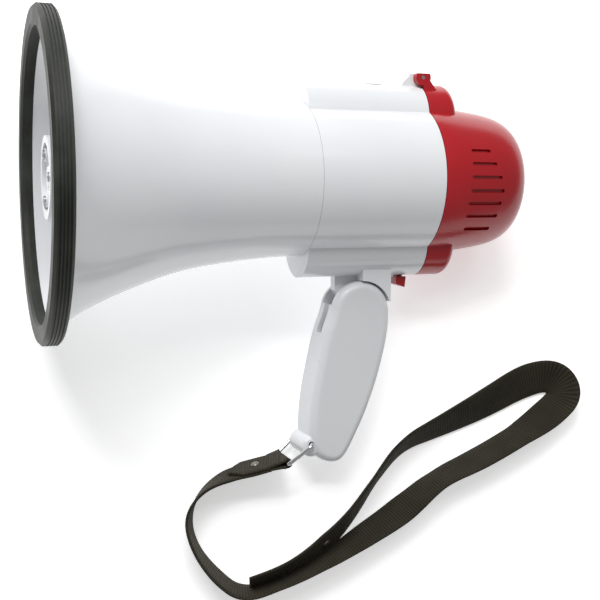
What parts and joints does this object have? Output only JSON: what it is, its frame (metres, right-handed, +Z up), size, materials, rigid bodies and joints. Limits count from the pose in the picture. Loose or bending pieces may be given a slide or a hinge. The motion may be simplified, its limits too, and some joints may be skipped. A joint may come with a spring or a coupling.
{
  "type": "handheld megaphone",
  "caption": "Handheld battery megaphone with a flared re-entrant horn, hinged rear microphone cap, folding pistol handle, siren button, talk lever and woven wrist strap.",
  "frame": {"origin": "on the floor, under the middle of the box around the megaphone without its strap, with the megaphone lying on its side", "axes": "+Z up from the floor, +X from the mouth of the horn towards the rear cap, -Y towards the side that the handle points to"},
  "size_m": [0.2944, 0.2889, 0.1583],
  "materials": {
    "white_plastic": "gloss",
    "black_rubber": "satin",
    "screw_steel": "satin",
    "black_plastic": "matte",
    "film": "satin",
    "copper": "satin",
    "plated_steel": "satin",
    "ferrite": "matte",
    "spring_steel": "satin",
    "board_green": "satin",
    "grey_plastic": "satin",
    "red_plastic": "gloss",
    "foam": "matte",
    "handle_plastic": "satin",
    "ring_chrome": "polished",
    "cell_wrap": "gloss",
    "webbing": "matte",
    "rivet_steel": "satin"
  },
  "bodies": {
    "housing": {"horn_bell": "white_plastic", "rim_guard": "black_rubber", "reflector": "white_plastic", "reflector_screws": "screw_steel", "horn_base": "white_plastic", "tone_tube": "white_plastic", "phase_plug": "black_plastic", "diaphragm": "film", "voice_coil": "copper", "driver_frame": "black_plastic", "driver_screws": "screw_steel", "top_plate": "plated_steel", "magnet_ring": "ferrite", "pole_yoke": "plated_steel", "main_housing": "white_plastic", "battery_sleeve": "black_plastic", "front_contacts": "spring_steel", "circuit_board": "board_green", "board_transformer": "plated_steel", "board_chips": "black_plastic", "board_capacitors": "black_plastic", "tact_switch": "black_plastic", "talk_switch": "black_plastic", "hinge_pin": "screw_steel", "handle_lug": "white_plastic", "lug_screws": "screw_steel", "cell_1": "cell_wrap", "cell_2": "cell_wrap", "cell_3": "cell_wrap", "cell_4": "cell_wrap", "wrist_strap": "webbing", "strap_rivets": "rivet_steel"},
    "cap": {"rear_cap": "red_plastic", "rear_contacts": "spring_steel", "contact_posts": "red_plastic", "mic_board": "board_green", "mic_capsule": "plated_steel", "mic_holder": "black_rubber", "mic_foam": "foam"},
    "handle": {"handle_left": "handle_plastic", "handle_right": "handle_plastic", "handle_screws": "screw_steel", "pivot_pin": "screw_steel"},
    "siren": {"siren_button": "grey_plastic"},
    "talk": {"talk_lever": "red_plastic"},
    "ring": {"strap_ring": "ring_chrome"}
  },
  "joints": [
    {"name": "handle_fold", "type": "hinge", "parent": "housing", "child": "handle", "pos_m": [0.03952, -0.03368, 0.02955], "axis": [-0.184, 0.2811, -0.9419], "range_deg": [0, 72]},
    {"name": "cap_hinge", "type": "hinge", "parent": "housing", "child": "cap", "pos_m": [0.07907, 0.08331, 0.05674], "axis": [0.184, -0.2811, 0.9419], "range_deg": [0, 100]},
    {"name": "siren_press", "type": "slide", "parent": "housing", "child": "siren", "axis": [-0.0539, -0.9597, -0.2759], "range_m": [0, 0.0012], "stiffness_N_per_m": 600},
    {"name": "talk_slide", "type": "slide", "parent": "housing", "child": "talk", "axis": [-0.9815, 0, 0.1917], "range_m": [0, 0.004], "stiffness_N_per_m": 300},
    {"name": "ring_swing", "type": "hinge", "parent": "handle", "child": "ring", "pos_m": [0.00826, -0.09922, 0.01609], "axis": [-0.184, 0.2811, -0.9419], "range_deg": [-15, 15]}
  ]
}
